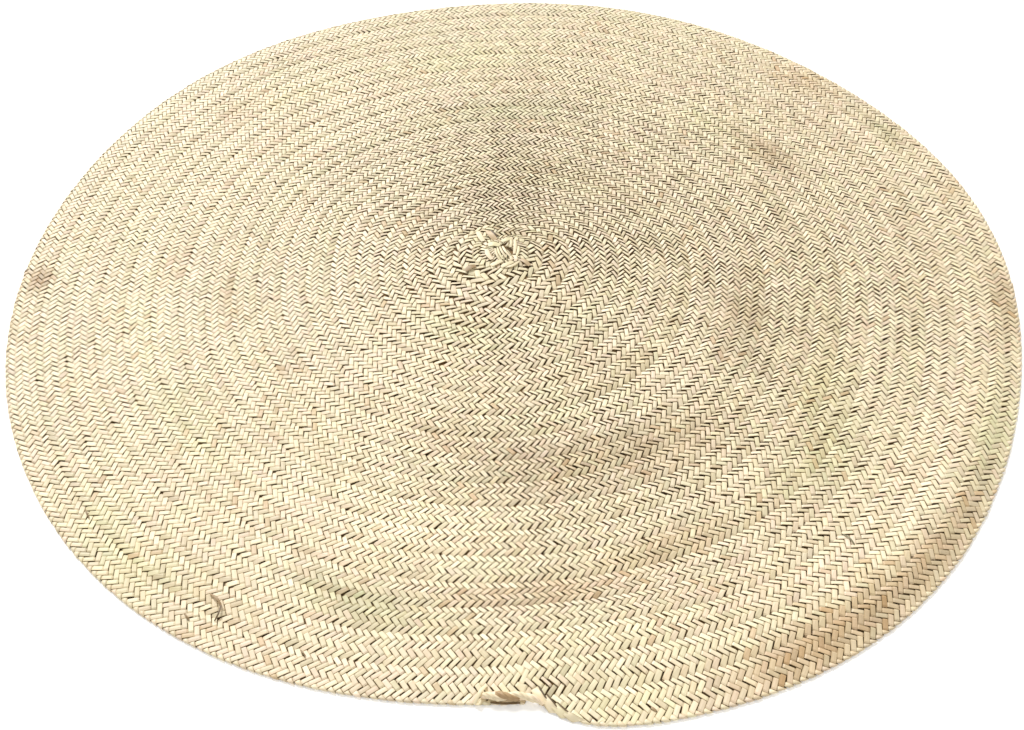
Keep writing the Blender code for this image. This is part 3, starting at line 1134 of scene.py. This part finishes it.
@dataclass
class LooseLeaf:
    """Lays loose strands through their stops."""

    coil: Coil
    points: int = 15
    across: tuple[float, ...] = (-1.0, -0.85, -0.35, 0.35, 0.85, 1.0)
    end_mark: float = 0.9
    number_step: float = 3.7

    def through(self, stops: Array, count: int) -> Array:
        """A smooth line through stops.

        Args:
            stops: the stops, one to a row.
            count: how many points the line gets.

        Returns:
            The line's points, one to a row.
        """
        ends = [2.0 * stops[:1] - stops[1:2], stops, 2.0 * stops[-1:] - stops[-2:-1]]
        knots = np.concatenate(ends)
        where = np.linspace(0.0, len(stops) - 1.0, count)
        first = np.minimum(where.astype(int), len(stops) - 2)
        share = (where - first)[:, None]
        before, here, there, after = (knots[first + i] for i in range(4))
        bend = 2.0 * before - 5.0 * here + 4.0 * there - after
        turn = 3.0 * (here - there) + after - before
        return here + 0.5 * share * (there - before + share * (bend + share * turn))

    def add(self, strands: Strands, ribbon: Ribbon, number: float) -> None:
        """Adds a strand to a mesh.

        Args:
            strands: the mesh's strands.
            ribbon: the strand.
            number: the leaf's own number.
        """
        line = self.through(np.array(ribbon.stops), self.points)
        line[:, :2] += self.coil.centre
        ahead = np.gradient(line, axis=0)
        aside = np.stack([-ahead[:, 1], ahead[:, 0], np.zeros(self.points)], axis=1)
        aside = aside / np.linalg.norm(aside, axis=1)[:, None]
        share = np.linspace(0.0, 1.0, self.points)
        width = ribbon.width * (ribbon.end_width + (1.0 - ribbon.end_width) * np.sin(np.pi * share) ** 0.5)
        across = np.array(self.across)
        points = line[:, None] + aside[:, None] * (0.5 * width[:, None] * across)[..., None]
        forward = ahead / np.linalg.norm(ahead, axis=1)[:, None]
        points += forward[:, None] * (ribbon.cut * share[:, None] ** 2 * across)[..., None]
        points[..., 2] -= ribbon.arch * across[None, :] ** 2
        points[..., 2] += ribbon.roll * ease(2.0 * share)[:, None] * across[None, :]
        marks = (np.linspace(-self.end_mark, self.end_mark, self.points)[:, None], across, number)
        grain = np.stack([np.broadcast_to(mark, points.shape[:2]) for mark in marks], axis=-1)
        kind = np.array([[ribbon.green, ribbon.tan, ribbon.light]])
        strands.add(points[None, :, ::-1], grain[None, :, ::-1], kind)

    def build(self, name: str, ribbons: tuple[Ribbon, ...], material: bpy.types.Material) -> bpy.types.Object:
        """Makes a piece of strands.

        Args:
            name: the piece's name.
            ribbons: its strands.
            material: the finish of the leaf.

        Returns:
            The new piece.
        """
        strands = Strands()
        for number, ribbon in enumerate(ribbons):
            self.add(strands, ribbon, self.number_step * number)
        return strands.build(name, material)


@dataclass
class TwistedEnd:
    """The plait's last leaf ends, twisted together in two strands and sewn down at the front."""

    coil: Coil
    loose: LooseLeaf
    stops: tuple[tuple[float, float, float], ...] = (
        (-0.0325, -0.7120, 0.50),
        (-0.0240, -0.7130, 0.88),
        (-0.0110, -0.7145, 1.00),
        (0.0030, -0.7150, 1.00),
        (0.0150, -0.7150, 0.95),
        (0.0260, -0.7170, 0.80),
        (0.0345, -0.7205, 0.60),
        (0.0395, -0.7255, 0.40),
    )
    radius: float = 0.0052
    floor: float = 0.0043
    seat: float = 0.85
    first_top: float = -0.0248
    half_twist: float = 0.0200
    strand_share: float = 0.76
    offset_share: float = 0.36
    rib: float = 0.10
    ribs: int = 5
    around: int = 24
    points: int = 85
    brown_from: float = -0.0165
    brown_to: float = 0.0125
    brown: tuple[float, float, float] = (0.0, 0.95, -0.22)
    pale: tuple[float, float, float] = (0.05, 0.16, 0.10)
    end_mark: float = 0.9
    edge_mark: float = 0.85
    numbers: tuple[float, float] = (9.0, 13.3)

    def build(self, material: bpy.types.Material) -> bpy.types.Object:
        """Makes both strands.

        Args:
            material: the finish of the leaf.

        Returns:
            The new piece.
        """
        strands = Strands()
        for strand in range(2):
            self.add(strands, strand)
        return strands.build("twisted_strands", material)

    def add(self, strands: Strands, strand: int) -> None:
        """Adds one of the two strands, wound round the cord's middle line.

        Args:
            strands: the mesh's strands.
            strand: its number.
        """
        line = self.loose.through(np.array(self.stops), self.points)
        radius = self.radius * line[:, 2]
        turned = np.pi * (0.5 + strand + (line[:, 0] - self.first_top) / self.half_twist)
        ahead = np.gradient(line[:, :2], axis=0)
        side = np.stack([-ahead[:, 1], ahead[:, 0]], axis=1)
        side = side / np.linalg.norm(side, axis=1)[:, None]
        middle = self.offset_share * radius
        around = np.linspace(0.0, 2.0 * np.pi, self.around + 1)
        rib = 1.0 + self.rib * np.cos(self.ribs * around + strand)
        section = (self.strand_share * radius)[:, None] * rib
        out = (middle * np.cos(turned))[:, None] + section * np.cos(around + turned[:, None])
        up = (middle * np.sin(turned))[:, None] + section * np.sin(around + turned[:, None])
        places = line[:, None, :2] + side[:, None] * out[..., None] + np.array(self.coil.centre)
        height = self.floor + self.seat * radius[:, None] + up
        points = np.concatenate([places, np.maximum(height, self.floor)[..., None]], axis=-1)
        along = np.linspace(-self.end_mark, self.end_mark, self.points)[:, None]
        across = np.abs(np.linspace(-self.edge_mark, self.edge_mark, self.around + 1))
        marks = (along, across, self.numbers[strand])
        grain = np.stack([np.broadcast_to(mark, points.shape[:2]) for mark in marks], axis=-1)
        brown = (line[:, 0] > self.brown_from) & (line[:, 0] < self.brown_to) & (strand == 1)
        kinds = np.where(brown[:, None], self.brown, self.pale)
        kinds = np.broadcast_to(kinds[None, :, None], (1, *points.shape))
        strands.add(points[None], grain[None], kinds)


@dataclass
class InnerSheet:
    """The body of the plait under its visible strips, as one thin sheet with the rug's outline."""

    coil: Coil
    rays: int = 360
    rings: int = 78
    under: float = 0.0029
    least: float = 0.0003
    floor: float = 0.0001
    inset: float = 0.0022

    def build(self, material: bpy.types.Material) -> bpy.types.Object:
        """Makes the sheet, closed all round.

        Args:
            material: its finish.

        Returns:
            The new piece.
        """
        coil = self.coil
        degrees = np.linspace(0.0, 360.0, self.rays, endpoint=False)[:, None]
        outline = coil.inner(degrees) + coil.width * coil.end_share(degrees) - self.inset
        share = np.linspace(0.0, 1.0, self.rings + 1)[None, 1:]
        even = outline * share
        x, y = coil.place(even, degrees)
        across = np.mod((coil.end_radius - even) / coil.width - degrees / 360.0, 1.0)
        bottom = coil.lift(even, degrees) + self.floor
        top = np.maximum(coil.crown(across, even, degrees) - self.under, bottom + self.least)
        upper = np.stack([x, y, top], axis=-1)
        lower = np.stack([x, y, bottom], axis=-1)
        middle_x, middle_y = coil.place(np.array(0.0), np.array(0.0))
        crest = coil.thickness + coil.eye_rise - self.under
        places = np.concatenate(
            [
                upper.reshape(-1, 3),
                lower.reshape(-1, 3),
                [[middle_x, middle_y, crest], [middle_x, middle_y, self.floor]],
            ]
        )
        mesh = bpy.data.meshes.new("inner_sheet")
        mesh.from_pydata(places.tolist(), [], self.faces())
        mesh.shade_smooth()
        mesh.materials.append(material)
        thing = bpy.data.objects.new("inner_sheet", mesh)
        bpy.context.scene.collection.objects.link(thing)
        return thing

    def faces(self) -> list[tuple[int, ...]]:
        """The sheet's faces: its top, its underside, its rim and the two fans in the middle."""
        rays, rings = self.rays, self.rings
        below = rays * rings
        faces: list[tuple[int, ...]] = []
        for ray in range(rays):
            here, there = ray * rings, (ray + 1) % rays * rings
            for ring in range(rings - 1):
                quad = (here + ring, here + ring + 1, there + ring + 1, there + ring)
                faces.append(quad)
                faces.append(tuple(below + corner for corner in reversed(quad)))
            edge, next_edge = here + rings - 1, there + rings - 1
            faces.append((edge, below + edge, below + next_edge, next_edge))
            faces.append((2 * below, here, there))
            faces.append((2 * below + 1, below + there, below + here))
        return faces


@dataclass(frozen=True)
class Studio:
    """The white ground, the soft light from behind on the left, and the camera."""

    camera_at: tuple[float, float, float] = (-0.00306, -1.48320, 1.42472)
    camera_turn: tuple[float, float, float] = (42.5411, 0.7817, -0.7767)
    lens: float = 47.921
    sensor: float = 36.0
    sun_turn: tuple[float, float, float] = (50.0, 0.0, 204.0)
    sun_strength: float = 3.00
    sun_spread: float = 24.0
    sky: Colour = (1.0, 0.965, 0.90)
    sky_strength: float = 0.62
    ground_half: float = 14.0

    def build(self) -> None:
        """Makes the camera, the lights and the ground."""
        scene = bpy.context.scene
        lens = bpy.data.cameras.new("camera")
        lens.lens = self.lens
        lens.sensor_width = self.sensor
        camera = bpy.data.objects.new("camera", lens)
        camera.location = self.camera_at
        camera.rotation_euler = [math.radians(angle) for angle in self.camera_turn]
        scene.collection.objects.link(camera)
        scene.camera = camera
        sun = bpy.data.lights.new("soft_sun", "SUN")
        sun.energy = self.sun_strength
        sun.angle = math.radians(self.sun_spread)
        lamp = bpy.data.objects.new("soft_sun", sun)
        lamp.rotation_euler = [math.radians(angle) for angle in self.sun_turn]
        scene.collection.objects.link(lamp)
        world = bpy.data.worlds.new("sky")
        world.use_nodes = True
        shade = world.node_tree.nodes["Background"]
        shade.inputs["Color"].default_value = (*self.sky, 1.0)
        shade.inputs["Strength"].default_value = self.sky_strength
        scene.world = world
        scene.view_settings.view_transform = "Standard"
        self.lay_ground()

    def lay_ground(self) -> None:
        """Makes the white ground, which isn't part of the rug."""
        half = self.ground_half
        mesh = bpy.data.meshes.new("ground")
        corners = [(-half, -half, 0.0), (half, -half, 0.0), (half, half, 0.0), (-half, half, 0.0)]
        mesh.from_pydata(corners, [], [(0, 1, 2, 3)])
        mesh.materials.append(GroundFinish().dress())
        ground = bpy.data.objects.new("ground", mesh)
        bpy.context.scene.collection.objects.link(ground)
        ground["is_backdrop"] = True


def report(piece: bpy.types.Object, slot: str, *nodes: str) -> None:
    """Fastens a piece to the rug's body and says so.

    Args:
        piece: the new piece.
        slot: the record's material slot named for the piece; not used.
        nodes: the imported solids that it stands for.
    """
    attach(piece, BODY)
    if nodes:
        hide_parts(*nodes)
    LOG.info("%s: %d faces", piece.name, len(piece.data.polygons))


def main() -> None:
    """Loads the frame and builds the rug's pieces in order."""
    logging.basicConfig(level=logging.INFO, format="%(message)s")
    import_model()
    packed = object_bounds()
    Studio().build()
    coil = Coil()
    draws = np.random.default_rng(20)
    mix = LeafMix(coil, draws)
    leaf = LeafFinish("dried_leaf_plait").dress()
    # The inner sheet's finish is painted shade for the slits.
    sheet = InnerSheet(coil).build(InnerShadeFinish().dress())
    report(sheet, "dried_leaf_plait", "sewn_plait")
    turns = LeafPlait(coil, mix, draws).build(leaf)
    loose = LooseLeaf(coil)
    sewn = [
        *turns,
        loose.build("middle_strands_and_slit_shade", MIDDLE_STRANDS_AND_SLIT_SHADE, leaf),
        loose.build("step_strands_and_shade_lines", STEP_STRANDS_AND_SHADE_LINES, leaf),
        loose.build("loose_slivers_and_cord_shade", SLIVERS_AND_CORD_SHADE, leaf),
    ]
    for piece in sewn:
        report(piece, "dried_leaf_plait", "sewn_plait")
    cord = TwistedEnd(coil, loose).build(LeafFinish("twisted_leaf").dress())
    report(cord, "twisted_leaf", "twisted_end")
    tuck = loose.build("tucking_strand", TUCK_STRANDS, LeafFinish("pale_leaf").dress())
    report(tuck, "pale_leaf", "tuck_strand")
    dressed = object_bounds()
    boxes = {"packed": [list(corner) for corner in packed], "dressed": [list(corner) for corner in dressed]}
    LOG.info("packed %s dressed %s", boxes["packed"], boxes["dressed"])


if __name__ == "__main__":
    main()
